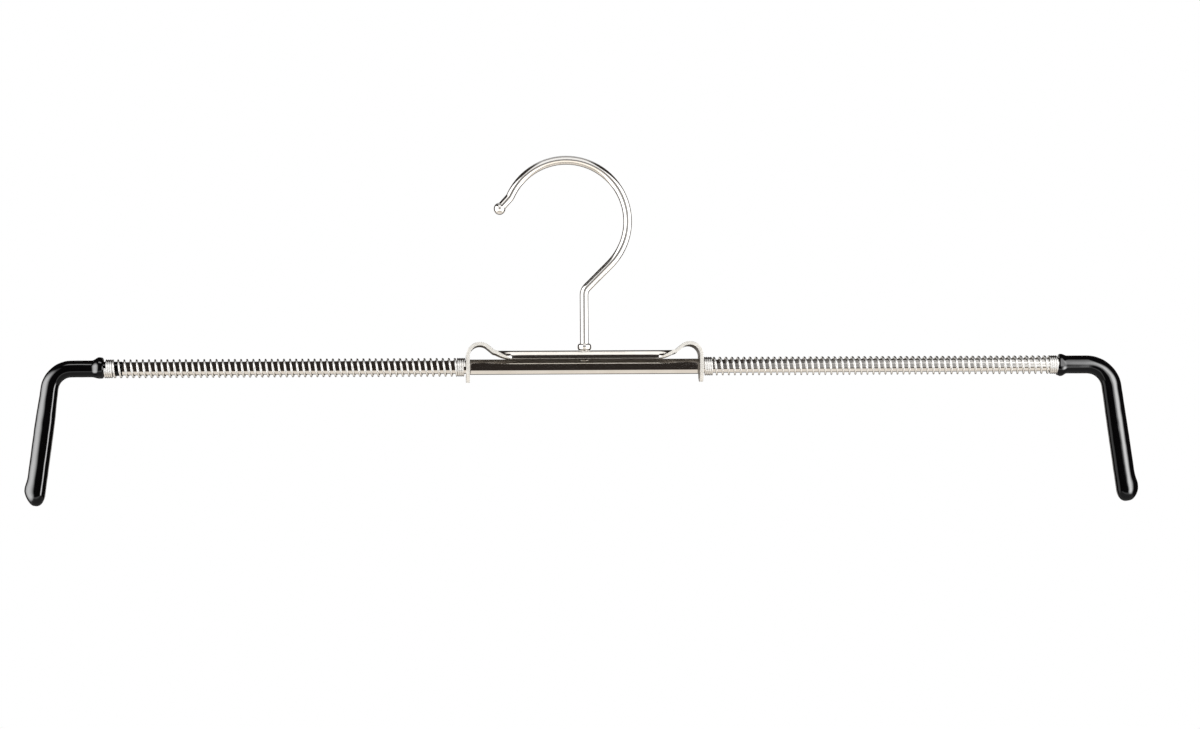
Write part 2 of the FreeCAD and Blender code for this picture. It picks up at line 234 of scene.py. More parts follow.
# Studio
WHITE = (1.0, 1.0, 1.0)
WARM = (1.0, 0.975, 0.94)
CREAM = (1.0, 0.93, 0.84)
ROOM = (0.026, 0.021, 0.018)
DOME_STRENGTH = 0.95
BACKDROP_BEHIND = (0.80, 0.86)     # soft borders of the backdrop, in parts of a unit direction
BACKDROP_BESIDE = (0.16, 0.22)
BACKDROP_TILT = (0.22, 0.34)
FLOOR_RADIUS = 2.2
FLOOR_FADE = (0.35, 2.09)          # distances from its middle between which it fades away
FLOOR_Z = -0.75
EVEN = (0.13, 0.13, 0.13)          # soft shares of a panel's sides, foot and head
HOOK_AIM = (0, 0, -0.03)

# Camera, solved from the photograph; angles in radians, lens and sensor in millimetres
CAMERA_PLACE = Vector((-0.0740454, -1.5, -0.17))
CAMERA_YAW = -0.053792
CAMERA_PITCH = 0.0558978
CAMERA_ROLL = -0.0075
CAMERA_LENS = 104.13
CAMERA_SENSOR = 36.0

# Smoothness of the meshes
WIRE_SIDES = 32
COAT_SIDES = 48
TUBE_SIDES = 64
SPRING_SIDES = 12
FLOOR_SIDES = 96
SHARP_ANGLE = math.radians(38)
RIVET_STEPS = 6
COLLAR_STEPS = 8
STEM_STEPS = 8
NECK_BEND_STEPS = 14
BOWL_STEPS = 96
TIP_BEND_STEPS = 8
TIP_STEPS = 4
BALL_STEPS = 16
FLAT_COLUMNS = 3
FOLD_COLUMNS = 8
CHANNEL_ROWS = 8
FOLD_ROWS = 10
VALLEY_ROWS = 8
HUMP_ROWS = 18
EAR_ROWS = 3
EAR_END_ROWS = 7
LIP_STEPS = 4
BAR_STEP = 2 * MM
LEAST_BAR_STEPS = 4
ELBOW_STEPS = 24
LEG_STEPS = 44
BEAD_STEPS = 16
NOSE_STEPS = 20
STEPS_PER_TURN = 28


def heading(lean):
    """Unit direction in the front plane, lean degrees from upright towards the right."""
    turn = math.radians(lean)
    return Vector((math.sin(turn), 0, math.cos(turn)))


DOWN_LEG = heading(180 - LEG_SPLAY)
OFF_LEG = heading(90 - LEG_SPLAY)


def blend(low, high, share):
    return low + (high - low) * share


def smooth(share):
    """Share from 0 to 1, eased at both ends and held outside them."""
    share = min(max(share, 0.0), 1.0)
    return share * share * (3 - 2 * share)


def quarter_turn(steps):
    """(cosine, sine) of angles in even steps from nothing to a quarter turn."""
    turns = [math.pi / 2 * k / steps for k in range(steps + 1)]
    return [(math.cos(turn), math.sin(turn)) for turn in turns]


# Paths are lists of (place, heading)

def straight(start, end, steps):
    along = (end - start).normalized()
    return [(start.lerp(end, k / steps), along) for k in range(steps + 1)]


def arc(centre, start, axis, turn, steps):
    stations = []
    for k in range(steps + 1):
        spoke = Matrix.Rotation(turn * k / steps, 3, axis) @ (start - centre)
        stations.append((centre + spoke, axis.cross(spoke).normalized()))
    return stations


def bend(corner, incoming, outgoing, radius, steps):
    """Round a corner between two unit directions."""
    turn = incoming.angle(outgoing)
    start = corner - incoming * radius * math.tan(turn / 2)
    inwards = (outgoing - incoming).normalized()
    centre = corner + inwards * radius / math.cos(turn / 2)
    return arc(centre, start, incoming.cross(outgoing).normalized(), turn, steps)


# Meshes

def circle(centre, first, second, radius, sides):
    """Points round a centre, from the first unit direction towards the second."""
    points = []
    for k in range(sides):
        turn = 2 * math.pi * k / sides
        points.append(centre + (first * math.cos(turn) + second * math.sin(turn)) * radius)
    return points


def ring(place, along, radius, sides, swell=None):
    """Circle of points across a path in the front plane; swell adds to the radius by direction."""
    sideways = along.cross(ACROSS)
    points = []
    for k in range(sides):
        angle = 2 * math.pi * (k + 0.5) / sides
        spoke = sideways * math.cos(angle) + ACROSS * math.sin(angle)
        reach = radius + swell(spoke) if swell else radius
        points.append(place + spoke * reach)
    return points


def bar_ring(x, radius, sides):
    """Ring round the bar's axis."""
    return ring(BAR + ALONG * x, ALONG, radius, sides)


def add_fan(points, faces, first, sides):
    """Close the ring of points that starts at index first with a fan round its middle."""
    middle = len(points)
    points.append(sum(points[first:first + sides], Vector()) / sides)
    for side in range(sides):
        faces.append((first + side, first + (side + 1) % sides, middle))


def face_outwards(mesh):
    shape = bmesh.new()
    shape.from_mesh(mesh)
    bmesh.ops.recalc_face_normals(shape, faces=shape.faces)
    shape.to_mesh(mesh)
    shape.free()


def skin(rings, closed=False):
    """Mesh through rings of equally many points: closed joins the last ring to the first, else
    a fan closes each end."""
    sides = len(rings[0])
    points = [point for each in rings for point in each]
    faces = []
    for k in range(len(rings) if closed else len(rings) - 1):
        here = k * sides
        there = (k + 1) % len(rings) * sides
        for side in range(sides):
            after = (side + 1) % sides
            faces.append((here + side, here + after, there + after, there + side))
    if not closed:
        add_fan(points, faces, 0, sides)
        add_fan(points, faces, (len(rings) - 1) * sides, sides)
    mesh = bpy.data.meshes.new("skin")
    mesh.from_pydata(points, [], faces)
    face_outwards(mesh)
    return mesh


def add_object(name, data):
    """New object in the scene."""
    made = bpy.data.objects.new(name, data)
    bpy.context.scene.collection.objects.link(made)
    return made


def add_piece(name, mesh, material, node, body):
    """Put a finished mesh in place of a CAD node."""
    mesh.name = name
    mesh.shade_smooth()
    mesh.set_sharp_from_angle(angle=SHARP_ANGLE)
    if not mesh.materials:
        mesh.materials.append(material)
    piece = add_object(name, mesh)
    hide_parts(node)
    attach(piece, body)
    return piece


# Hook

def foot_profile():
    """(height above the bar, radius) of the rivet head, tenon and collar."""
    profile = []
    for cosine, sine in quarter_turn(RIVET_STEPS):
        height = RIVET_TOP - RIVET_HEIGHT * blend(RIVET_RIM_SHARE, 1.0, cosine)
        profile.append((height, RIVET_RADIUS * blend(RIVET_FLAT_SHARE, 1.0, sine)))
    profile.append((RIVET_TOP, RIVET_RADIUS))
    profile.append((RIVET_TOP, TENON_RADIUS))
    profile.append((COLLAR_BOTTOM, TENON_RADIUS))
    for cosine, sine in quarter_turn(COLLAR_STEPS):
        height = COLLAR_BOTTOM + COLLAR_ROUND * (1 - cosine)
        profile.append((height, COLLAR_RADIUS - COLLAR_ROUND * (1 - sine)))
    collar_top = COLLAR_BOTTOM + COLLAR_HEIGHT
    for cosine, sine in quarter_turn(COLLAR_STEPS):
        height = collar_top - COLLAR_ROUND * (1 - sine)
        radius = COLLAR_RADIUS - COLLAR_ROUND * (1 - cosine)
        profile.append((height, max(radius, WIRE_RADIUS)))
    return profile


def hook_path():
    """Wire's axis from the collar to the ball; also the ball's centre and the tip's direction."""
    neck = heading(NECK_LEAN)
    neck_top = BOWL_CENTRE + heading(90 + NECK_LEAN) * BOWL_RADIUS
    neck_foot = neck_top - neck * (neck_top.x / neck.x)
    leaving = heading(-BOWL_END_ANGLE)
    tip = heading(TIP_LEAN - 180)
    tip_turn = TIP_BEND_RADIUS * math.tan(leaving.angle(tip) / 2)
    bowl_end = BOWL_CENTRE + heading(90 - BOWL_END_ANGLE) * BOWL_RADIUS
    tip_corner = bowl_end + leaving * tip_turn
    tip_start = tip_corner + tip * tip_turn
    ball_centre = tip_start + tip * TIP_LENGTH
    ball_neck = ball_centre - tip * math.sqrt(BALL_RADIUS ** 2 - WIRE_RADIUS ** 2)

    stem_foot = BAR + UP * (COLLAR_BOTTOM + COLLAR_HEIGHT)
    neck_bend = bend(neck_foot, UP, neck, NECK_BEND_RADIUS, NECK_BEND_STEPS)
    bowl_turn = math.radians(BOWL_END_ANGLE + NECK_LEAN)
    runs = [
        straight(stem_foot, neck_bend[0][0], STEM_STEPS),
        neck_bend,
        straight(neck_bend[-1][0], neck_top, STEM_STEPS),
        arc(BOWL_CENTRE, neck_top, -ACROSS, bowl_turn, BOWL_STEPS),
        bend(tip_corner, leaving, tip, TIP_BEND_RADIUS, TIP_BEND_STEPS),
        straight(tip_start, ball_neck, TIP_STEPS),
    ]
    path = [station for run in runs for station in run[1:]]
    return path, ball_centre, tip


def make_hook():
    rings = [ring(BAR + UP * height, UP, radius, WIRE_SIDES) for height, radius in foot_profile()]
    path, ball_centre, tip = hook_path()
    rings += [ring(place, way, WIRE_RADIUS, WIRE_SIDES) for place, way in path]
    neck_angle = math.pi - math.asin(WIRE_RADIUS / BALL_RADIUS)
    for k in range(1, BALL_STEPS):
        angle = neck_angle * (1 - k / BALL_STEPS)
        place = ball_centre + tip * BALL_RADIUS * math.cos(angle)
        rings.append(ring(place, tip, BALL_RADIUS * math.sin(angle), WIRE_SIDES))
    return skin(rings)


# Bracket

def strip_columns():
    """Places across the flat strip, in order; the folded parts are divided finely."""
    half = [CHANNEL_FLAT * k / FLAT_COLUMNS for k in range(FLAT_COLUMNS)]
    half += [CHANNEL_FLAT + FOLD_ARC * k / FOLD_COLUMNS for k in range(FOLD_COLUMNS + 1)]
    half.append(STRIP_WIDTH / 2 - EDGE_TRIM)
    return [-place for place in reversed(half[1:])] + half


def folded_place(place, turn):
    """(y, z) of a place across the strip when its edges are folded down by turn."""
    past_flat = abs(place) - CHANNEL_FLAT
    if past_flat <= 0 or turn == 0:
        return place, 0.0
    radius = FOLD_ARC / turn
    folded = turn * min(past_flat / FOLD_ARC, 1)
    beyond = max(past_flat - FOLD_ARC, 0)
    y = CHANNEL_FLAT + radius * math.sin(folded) + beyond * math.cos(turn)
    z = radius * (math.cos(folded) - 1) - beyond * math.sin(turn)
    return math.copysign(y, place), z


def hump_line():
    """Where the flat strip ends, and (x, z) of the sheet's middle from there to the bar's height."""
    hump_x = EAR_MID - HUMP_RADIUS
    slope_x = hump_x - HUMP_RADIUS * math.sin(HUMP_SLOPE)
    valley_x = slope_x - HUMP_SLOPE_LENGTH * math.cos(HUMP_SLOPE)
    flat_x = valley_x - VALLEY_RADIUS * math.sin(HUMP_SLOPE)
    line = []
    for k in range(1, VALLEY_ROWS + 1):
        turn = HUMP_SLOPE * k / VALLEY_ROWS
        rise = VALLEY_RADIUS * (1 - math.cos(turn))
        line.append((flat_x + VALLEY_RADIUS * math.sin(turn), SHEET_MID + rise))
    valley_z = line[-1][1]
    slope_z = valley_z + HUMP_SLOPE_LENGTH * math.sin(HUMP_SLOPE)
    line.append((blend(valley_x, slope_x, 0.5), blend(valley_z, slope_z, 0.5)))
    hump_z = slope_z - HUMP_RADIUS * math.cos(HUMP_SLOPE)
    for k in range(HUMP_ROWS + 1):
        turn = blend(math.pi / 2 + HUMP_SLOPE, 0.0, k / HUMP_ROWS)
        line.append((hump_x + HUMP_RADIUS * math.cos(turn), hump_z + HUMP_RADIUS * math.sin(turn)))
    for k in range(1, EAR_ROWS + 1):
        line.append((EAR_MID, hump_z * (1 - k / EAR_ROWS)))
    return flat_x, line


def ear_end_rows(columns):
    """Rows of the ear's rounded end, below the bar's axis."""
    end_radius = STRIP_WIDTH / 2
    rows = []
    for k in range(1, EAR_END_ROWS + 1):
        down = k / EAR_END_ROWS
        row = []
        for place in columns:
            wide = place / end_radius
            y = place * math.sqrt(1 - down * down / 2)
            z = -end_radius * down * math.sqrt(1 - wide * wide / 2)
            row.append(Vector((EAR_MID, y, z)))
        rows.append(row)
    return rows


def strip_rows():
    """Rows of points of the sheet's middle on the right side, from the stem to the ear's end."""
    columns = strip_columns()
    flat_x, line = hump_line()
    folded_x = flat_x - FOLD_LENGTH
    folds = [(folded_x * k / CHANNEL_ROWS, math.pi / 2) for k in range(CHANNEL_ROWS)]
    for k in range(FOLD_ROWS + 1):
        turn = math.pi / 2 * (1 - k / FOLD_ROWS)
        folds.append((folded_x + FOLD_LENGTH * k / FOLD_ROWS, turn))
    rows = []
    for x, turn in folds:
        places = [folded_place(place, turn) for place in columns]
        rows.append([Vector((x, y, SHEET_MID + z)) for y, z in places])
    rows += [[Vector((x, place, z)) for place in columns] for x, z in line]
    return rows + ear_end_rows(columns)


def make_sheet(materials):
    """Sheet without thickness, through the strip's rows on both sides of the stem."""
    right = strip_rows()
    left = [[Vector((-point.x, point.y, point.z)) for point in row] for row in reversed(right[1:])]
    rows = left + right
    width = len(rows[0])
    points = [BAR + point for row in rows for point in row]
    faces = []
    for k in range(len(rows) - 1):
        for j in range(width - 1):
            corner = k * width + j
            faces.append((corner, corner + 1, corner + 1 + width, corner + width))
    mesh = bpy.data.meshes.new("sheet")
    mesh.from_pydata(points, [], faces)
    for material in materials:
        mesh.materials.append(material)
    return add_object("sheet", mesh)


def make_cutter(start, end, radius):
    """Round bar that cuts a hole."""
    along = (end - start).normalized()
    sideways = along.orthogonal().normalized()
    other = along.cross(sideways)
    rings = [circle(place, sideways, other, radius, TUBE_SIDES) for place in (start, end)]
    return add_object("cutter", skin(rings))


def thicken_sheet(sheet):
    """Give the sheet its thickness and soften its edges."""
    thicken = sheet.modifiers.new("thicken", "SOLIDIFY")
    thicken.thickness = SHEET
    thicken.offset = 0
    thicken.use_even_offset = True
    thicken.material_offset_rim = CUT_EDGE_SLOT
    thicken.material_offset = FACE_SLOT
    soften = sheet.modifiers.new("soften", "BEVEL")
    soften.width = EDGE_BEVEL
    soften.segments = EDGE_SEGMENTS
    soften.limit_method = "ANGLE"
    soften.angle_limit = EDGE_ANGLE
    soften.material = FACE_SLOT


def make_bracket(shaded_underside, cut_edge, face):
    """Thick sheet with holes for the tube and the hook's tenon."""
    # The first material, on the sheet's underside, is dark as painted shade under the strip
    sheet = make_sheet((shaded_underside, cut_edge, face))
    thicken_sheet(sheet)
    ear = ALONG * (EAR_FACE + SHEET)
    hole_low = BAR + UP * (SHEET_MID - SHEET)
    hole_high = BAR + UP * (SHEET_MID + SHEET)
    cutters = [
        make_cutter(BAR - ear, BAR + ear, TUBE_RADIUS + TUBE_SEAT_CLEARANCE),
        make_cutter(hole_low, hole_high, TENON_HOLE_RADIUS),
    ]
    for cutter in cutters:
        cut = sheet.modifiers.new("cut", "BOOLEAN")
        cut.operation = "DIFFERENCE"
        cut.object = cutter
    level = sheet.modifiers.new("level", "WEIGHTED_NORMAL")
    level.keep_sharp = True
    graph = bpy.context.evaluated_depsgraph_get()
    finished = bpy.data.meshes.new_from_object(sheet.evaluated_get(graph))
    for temporary in [sheet] + cutters:
        bpy.data.objects.remove(temporary)
    return finished


# Guide tube

def make_guide_tube():
    inner_end = EAR_FACE - LIP_LENGTH
    half = [(0.0, TUBE_RADIUS)]
    for cosine, sine in quarter_turn(LIP_STEPS):
        x = EAR_FACE - LIP_ROUND * (1 - sine)
        half.append((x, TUBE_RADIUS - LIP_ROUND * (1 - cosine)))
    half.append((EAR_FACE, LIP_BORE_RADIUS))
    half.append((inner_end, LIP_BORE_RADIUS))
    half.append((inner_end, TUBE_BORE_RADIUS))
    half.append((0.0, TUBE_BORE_RADIUS))
    other_half = [(-x, radius) for x, radius in reversed(half[1:-1])]
    rings = [bar_ring(x, radius, TUBE_SIDES) for x, radius in half + other_half]
    return skin(rings, closed=True)


# Arms

def arm_path(start_x, bend_radius, leg_end):
    """Path of an arm's axis from a place on the bar to a distance down from its corner."""
    elbow = bend(ARM_CORNER, ALONG, DOWN_LEG, bend_radius, ELBOW_STEPS)
    bar_steps = max(LEAST_BAR_STEPS, round((elbow[0][0].x - start_x) / BAR_STEP))
    path = straight(BAR + ALONG * start_x, elbow[0][0], bar_steps)
    path += elbow[1:]
    path += straight(elbow[-1][0], ARM_CORNER + DOWN_LEG * leg_end, LEG_STEPS)[1:]
    return path


def below_corner(place):
    """Distance of a place on the leg's axis down from the arm's corner."""
    return (place - ARM_CORNER).dot(DOWN_LEG)


def rod_radius(place):
    """Radius of the rod, which has a ring upset on it behind the spring and a tapered end."""
    if STAKE_START <= place.x <= STAKE_START + STAKE_LENGTH:
        return STAKE_RADIUS
    from_end = ROD_LEG_LENGTH - below_corner(place)
    return blend(ROD_END_RADIUS, ROD_RADIUS, min(from_end / ROD_TAPER_LENGTH, 1.0))


def make_rod():
    """Rod with a spigot for its bush, the upset ring and the bent leg."""
    stake_end = STAKE_START + STAKE_LENGTH
    profile = [
        (ROD_INNER_END, SPIGOT_RADIUS),
        (BUSH_FACE, SPIGOT_RADIUS),
        (BUSH_FACE, ROD_RADIUS),
        (SPRING_SEAT, ROD_RADIUS),
        (STAKE_START, ROD_RADIUS),
        (STAKE_START, STAKE_RADIUS),
        (stake_end, STAKE_RADIUS),
        (stake_end, ROD_RADIUS),
    ]
    rings = [bar_ring(x, radius, WIRE_SIDES) for x, radius in profile]
    for place, way in arm_path(stake_end, ARM_BEND_RADIUS, ROD_LEG_LENGTH)[1:]:
        rings.append(ring(place, way, rod_radius(place), WIRE_SIDES))
    return skin(rings)


def elbow_reach(coat):
    """Distance from the arm's corner to each end of the coating's bend."""
    return coat["bend_radius"] * math.tan(math.radians(90 - LEG_SPLAY) / 2)


def coat_radius(place, coat):
    """Radius of a coating at a place on the arm's axis, before its bead, bump and nose."""
    drop = ARM_CORNER.z - place.z
    reach = elbow_reach(coat)
    if drop < reach * math.cos(math.radians(LEG_SPLAY)):
        return blend(coat["bar"], coat["leg_top"], smooth(drop / reach))
    from_corner = (place - ARM_CORNER).length
    share = (from_corner - reach) / (coat["leg_length"] - reach)
    return blend(coat["leg_top"], coat["leg_tip"], smooth(share / coat["leg_ease"]))


def bead_height(place, coat):
    """Share of the bead's lift: part of it at the rim, all at the crown, none on the bar."""
    share = (place.x - SPRING_SEAT) / coat["bead_length"]
    crown_at = coat["crown_at"]
    if share < crown_at:
        before_crown = min(1 - share / crown_at, 1.0)
        return blend(RIM_SHARE, 1.0, math.sqrt(1 - before_crown ** 2))
    return 1 - smooth((share - crown_at) / (1 - crown_at))


def above_end(place, coat):
    """Height of a place on the leg's axis above the end of the coating."""
    return coat["leg_length"] - below_corner(place)


def bump_height(place, coat):
    """Height of the bump that stands outwards near the leg's end."""
    off = above_end(place, coat) - BUMP_ABOVE_END
    length = BUMP_LENGTH_ABOVE if off > 0 else BUMP_LENGTH_BELOW
    return coat["bump"] * math.exp(-(off / length) ** 2)


def nose_share(place, coat, outer):
    """Share of the radius left in the rounded nose; outer is 0 on its inner side, 1 on its outer."""
    height = blend(NOSE_INNER_HEIGHT, coat["nose_height"], outer)
    power = blend(NOSE_INNER_ROUND, coat["nose_round"], outer)
    below_nose = max(1 - above_end(place, coat) / height, 0.0)
    return (1 - below_nose ** NOSE_EASE) ** power


def coat_swell(place, radius, coat):
    """Function of direction that adds the dip's bead, bump, nose and unevenness to a ring."""
    bead = bead_height(place, coat)
    bump = bump_height(place, coat)

    def swell(spoke):
        lift = coat["bead_lift"] * blend(coat["bead_front"], 1.0, spoke.z ** 2)
        lift -= coat["bead_sag"] * spoke.z
        where = (place + spoke * radius) / MM
        lumps = noise.noise(where * LUMPS_PER_MM) * LUMP_HEIGHT
        lumps += noise.noise(where * BEAD_LUMPS_PER_MM) * BEAD_LUMP_HEIGHT * bead
        facing = spoke.dot(OFF_LEG)
        on_bump = max(facing, 0.0) ** BUMP_SHARPNESS
        reach = radius + lift * bead + bump * on_bump + lumps
        return reach * nose_share(place, coat, (1 + facing) / 2) - radius

    return swell


def rim_ring(coat, inset, lip):
    """Ring at the bead's spring end, drawn in by inset and pulled under the spring by lip."""
    seat = BAR + ALONG * SPRING_SEAT
    radius = coat["bar"] - inset
    points = []
    for point in ring(seat, ALONG, radius, COAT_SIDES, coat_swell(seat, radius, coat)):
        below = smooth((BAR.z - point.z) / radius)
        points.append(point - ALONG * lip * below)
    return points


def film_rings(coat):
    """Thin run of vinyl along the rod under the spring's last turns, with an uneven edge."""
    start = SPRING_SEAT - coat["film_length"]
    rings = []
    for x, radius in ((start, FILM_RADIUS - FILM_EDGE_DROP), (start + FILM_EDGE, FILM_RADIUS)):
        edge = []
        for point in bar_ring(x, radius, COAT_SIDES):
            wave = noise.noise(Vector((0, point.y, point.z - BAR.z)) / MM * BEAD_LUMPS_PER_MM)
            edge.append(point + ALONG * max(wave, 0) * FILM_WAVE)
        rings.append(edge)
    rings.append(bar_ring(SPRING_SEAT, FILM_RADIUS, COAT_SIDES))
    return rings


def coat_path(coat):
    """Stations on the coating's axis, close together along the bead and in the nose."""
    seat = BAR + ALONG * SPRING_SEAT
    bead_end = seat + ALONG * coat["bead_length"]
    nose_height = max(NOSE_INNER_HEIGHT, coat["nose_height"])
    path = straight(seat, bead_end, BEAD_STEPS)[1:]
    path += arm_path(bead_end.x, coat["bend_radius"], coat["leg_length"] - nose_height)[1:]
    for k in range(1, NOSE_STEPS + 1):
        from_end = blend(NOSE_END_STEP, nose_height, (1 - k / NOSE_STEPS) ** 2)
        path.append((ARM_CORNER + DOWN_LEG * (coat["leg_length"] - from_end), DOWN_LEG))
    return path


def make_coating(coat):
    """Shell over the rod: bore from the rod's end back to the bead, then the outside."""
    bore_path = arm_path(SPRING_SEAT - coat["film_length"], ARM_BEND_RADIUS, ROD_LEG_LENGTH)
    rings = []
    for place, way in reversed(bore_path):
        rings.append(ring(place, way, rod_radius(place) + COAT_GAP, COAT_SIDES))
    if coat["film_length"]:
        rings += film_rings(coat)
    rings.append(rim_ring(coat, RIM_ROUND + RIM_STEP, 0.0))
    rings.append(rim_ring(coat, RIM_ROUND, coat["lip"]))
    rings.append(rim_ring(coat, RIM_CORNER, coat["lip"] - RIM_STEP))
    for place, way in coat_path(coat):
        radius = coat_radius(place, coat)
        rings.append(ring(place, way, radius, COAT_SIDES, coat_swell(place, radius, coat)))
    return skin(rings)


# Springs

def turn_places():
    """(turns, x) along the coil: close turns, open turns, close turns."""
    total = 2 * CLOSED_TURNS + OPEN_TURNS
    count = round(total * STEPS_PER_TURN)
    openness = []
    for k in range(count):
        turns = (k + 0.5) / STEPS_PER_TURN
        from_end = min(turns, total - turns)
        openness.append(smooth(from_end - OPENING_START))
    open_share = sum(openness) / STEPS_PER_TURN
    coil_length = SPRING_LENGTH - 2 * SPRING_WIRE_RADIUS
    open_pitch = (coil_length - CLOSED_PITCH * (total - open_share)) / open_share
    places = [(0.0, SPRING_START + SPRING_WIRE_RADIUS)]
    for k in range(count):
        pitch = blend(CLOSED_PITCH, open_pitch, openness[k])
        places.append(((k + 1) / STEPS_PER_TURN, places[-1][1] + pitch / STEPS_PER_TURN))
    return places


def make_spring():
    """Right-handed coil with close turns at both ends, cut square."""
    coil_radius = SPRING_RADIUS - SPRING_WIRE_RADIUS
    places = turn_places()
    rings = []
    for k, (turns, x) in enumerate(places):
        angle = 2 * math.pi * turns
        spoke = Vector((0, math.cos(angle), math.sin(angle)))
        before = places[max(k - 1, 0)]
        after = places[min(k + 1, len(places) - 1)]
        climb = (after[1] - before[1]) / ((after[0] - before[0]) * 2 * math.pi)
        along = Vector((climb, -coil_radius * spoke.z, coil_radius * spoke.y)).normalized()
        centre = BAR + Vector((x, 0, 0)) + spoke * coil_radius
        rings.append(circle(centre, spoke, along.cross(spoke), SPRING_WIRE_RADIUS, SPRING_SIDES))
    return skin(rings)


# Shader nodes

def empty_tree(owner):
    """Node tree of a material, world or lamp, with nothing in it."""
    owner.use_nodes = True
    owner.node_tree.nodes.clear()
    return owner.node_tree


def add_node(tree, kind, inputs=None, **settings):
    """New node; inputs are values or sockets to link."""
    made = tree.nodes.new(kind)
    for name, value in settings.items():
        setattr(made, name, value)
    for name, value in (inputs or {}).items():
        if isinstance(value, bpy.types.NodeSocket):
            tree.links.new(value, made.inputs[name])
        else:
            made.inputs[name].default_value = value
    return made


def maths(tree, operation, first, second=0.0):
    return add_node(tree, "ShaderNodeMath", {0: first, 1: second}, operation=operation).outputs[0]


def spread(tree, value, given, wanted):
    """Value from one (low, high) range mapped on to another, held at the ends."""
    inputs = {
        "Value": value,
        "From Min": given[0],
        "From Max": given[1],
        "To Min": wanted[0],
        "To Max": wanted[1],
    }
    return add_node(tree, "ShaderNodeMapRange", inputs).outputs[0]


def step_up(tree, value, low, high):
    """Share that rises from 0 at low to 1 at high, eased at both ends."""
    inputs = {"Value": value, "From Min": low, "From Max": high}
    return add_node(tree, "ShaderNodeMapRange", inputs, interpolation_type="SMOOTHSTEP").outputs[0]


def grain(tree, place, scale, stretch=(1, 1, 1), detail=3.0, roughness=0.55):
    """Noise of about scale cycles per metre, drawn out along an axis by stretch."""
    stretched = add_node(tree, "ShaderNodeMapping", {"Vector": place, "Scale": stretch})
    inputs = {"Vector": stretched.outputs[0], "Scale": scale, "Detail": detail, "Roughness": roughness}
    return add_node(tree, "ShaderNodeTexNoise", inputs).outputs[0]


def tint(tree, value, tones):
    """Colour between two tones, by a noise."""
    ramp = add_node(tree, "ShaderNodeValToRGB", {"Fac": value})
    for element, position, tone in zip(ramp.color_ramp.elements, NOISE_RANGE, tones):
        element.position = position
        element.color = (*tone, 1)
    return ramp.outputs["Color"]


def bump(tree, height, depth):
    inputs = {"Height": height, "Distance": depth, "Strength": 1.0}
    return add_node(tree, "ShaderNodeBump", inputs).outputs[0]


# Materials

def start_material(name):
    """Material with an empty tree; gives it, its tree and object coordinates."""
    material = bpy.data.materials.new(name)
    tree = empty_tree(material)
    place = add_node(tree, "ShaderNodeTexCoord").outputs["Object"]
    return material, tree, place


def add_shader(tree, colour, roughness, normal, others):
    """Surface with these sockets linked and other values set."""
    inputs = {"Base Color": colour, "Roughness": roughness, "Normal": normal, **others}
    shader = add_node(tree, "ShaderNodeBsdfPrincipled", inputs)
    add_node(tree, "ShaderNodeOutputMaterial", {"Surface": shader.outputs[0]})


def make_plate(name, roughness, wear, stretch=(1, 1, 1)):
    """Nickel-chrome plate: warm tone, cloudy gloss, fine lines and worn specks."""
    material, tree, place = start_material(name)
    clouds = grain(tree, place, scale=140, detail=2.0)
    lines = grain(tree, place, scale=2600, stretch=stretch, detail=4.0)
    specks = grain(tree, place, scale=900, stretch=stretch, detail=6.0, roughness=0.7)
    worn = spread(tree, specks, SPECK_RANGE, (0.0, wear))
    gloss = spread(tree, lines, NOISE_RANGE, roughness)
    normal = bump(tree, lines, depth=0.0008 * MM)
    colour = tint(tree, clouds, PLATE_TONES)
    add_shader(tree, colour, maths(tree, "ADD", gloss, worn), normal, {"Metallic": 1.0})
    return material


def make_satin(name, tones, roughness, metallic):
    """Dull plated steel of the strip's cut edge, and of its underside, whose dark tones are painted
    shade: cloudy tone, fine tooling lines.
    """
    material, tree, place = start_material(name)
    clouds = grain(tree, place, scale=220, detail=3.0)
    lines = grain(tree, place, scale=1800, stretch=(0.3, 1, 1), detail=3.0)
    gloss = spread(tree, lines, NOISE_RANGE, roughness)
    normal = bump(tree, lines, depth=0.001 * MM)
    add_shader(tree, tint(tree, clouds, tones), gloss, normal, {"Metallic": metallic})
    return material


def make_spring_steel():
    """Drawn and plated spring wire: fine lines and a slightly uneven gloss."""
    material, tree, place = start_material("spring_steel")
    lines = grain(tree, place, scale=3200, stretch=(3.0, 1.0, 1.0), detail=3.0)
    clouds = grain(tree, place, scale=260, detail=2.0)
    gloss = spread(tree, lines, NOISE_RANGE, STEEL_ROUGHNESS)
    normal = bump(tree, lines, depth=0.0006 * MM)
    add_shader(tree, tint(tree, clouds, STEEL_TONES), gloss, normal, {"Metallic": 1.0})
    return material


def make_vinyl():
    """Glossy dipped vinyl: faint orange peel, dust in the gloss and a duller nose."""
    material, tree, place = start_material("dipped_vinyl")
    peel = grain(tree, place, scale=420, detail=2.0)
    dust = grain(tree, place, scale=2400, detail=5.0, roughness=0.7)
    clouds = grain(tree, place, scale=90, detail=2.0)
    height = add_node(tree, "ShaderNodeSeparateXYZ", {"Vector": place}).outputs["Z"]
    nose = (LEG_BOTTOM, LEG_BOTTOM + NOSE_INNER_HEIGHT)
    dull = spread(tree, height, nose, (NOSE_DULLNESS, 0.0))
    gloss = spread(tree, dust, DUST_RANGE, VINYL_ROUGHNESS)
    normal = bump(tree, peel, depth=0.006 * MM)
    colour = tint(tree, clouds, VINYL_TONES)
    add_shader(tree, colour, maths(tree, "ADD", gloss, dull), normal, {"IOR": VINYL_IOR})
    return material


